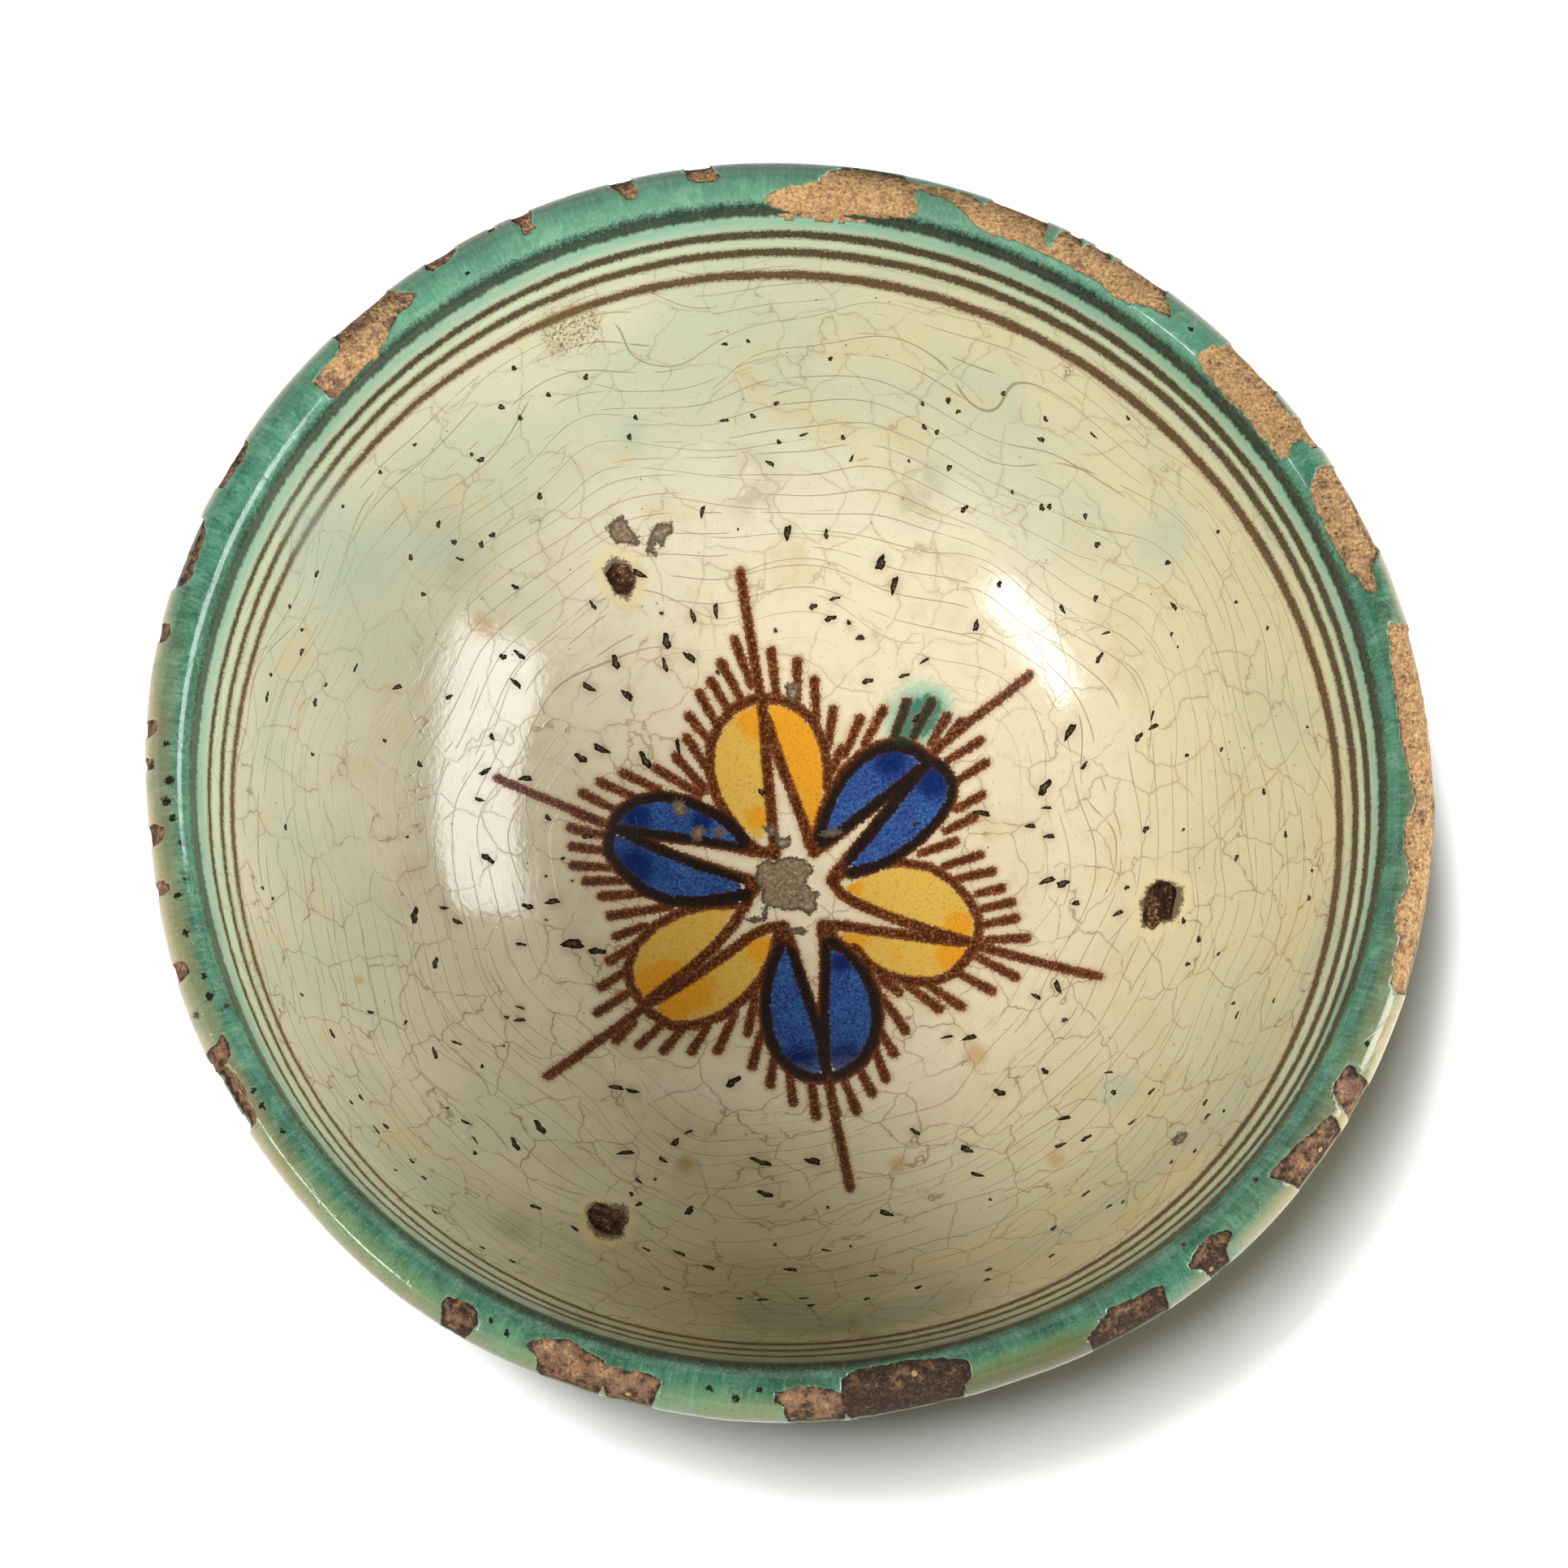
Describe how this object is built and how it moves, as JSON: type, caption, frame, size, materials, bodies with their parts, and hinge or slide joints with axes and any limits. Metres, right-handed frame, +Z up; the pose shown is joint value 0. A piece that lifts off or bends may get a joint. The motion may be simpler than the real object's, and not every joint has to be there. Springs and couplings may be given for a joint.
{
  "type": "footed bowl",
  "caption": "Wide round earthenware bowl on a foot ring, glazed cream inside with a chipped green rim, brown lines and a painted petal rosette, for holding food.",
  "frame": {"origin": "middle of the foot ring's flat face, on the surface that the bowl stands on", "axes": "+Z up along the bowl's axis of turning; -Y towards the viewer, so that the rosette's long front petal lies on the -Y side"},
  "size_m": [0.2796, 0.2799, 0.12],
  "materials": {
    "clay": "matte, porous, soiled buff earthenware",
    "slip": "matte smeared slip",
    "cream_glaze": "glossy, crazed, pitted cream glaze",
    "green_glaze": "glossy copper-green glaze",
    "outer_glaze": "glossy, crazed pale glaze",
    "brown_pigment": "brown pigment sunk in the glaze",
    "yellow_pigment": "ochre yellow pigment sunk in the glaze",
    "blue_pigment": "cobalt blue pigment sunk in the glaze"
  },
  "bodies": {
    "root": {"clay_body": "clay", "luting_slip": "slip", "foot_ring": "clay", "inner_glaze": "cream_glaze", "rim_glaze": "green_glaze", "outer_glaze": "outer_glaze", "rim_line_1": "brown_pigment", "rim_line_2": "brown_pigment", "rim_line_3": "brown_pigment", "rim_line_4": "brown_pigment", "yellow_petal_back": "yellow_pigment", "blue_petal_right": "blue_pigment", "yellow_petal_right": "yellow_pigment", "blue_petal_front": "blue_pigment", "yellow_petal_left": "yellow_pigment", "blue_petal_left": "blue_pigment", "petal_outlines": "brown_pigment", "petal_rays": "brown_pigment", "petal_lashes": "brown_pigment"}
  },
  "joints": []
}
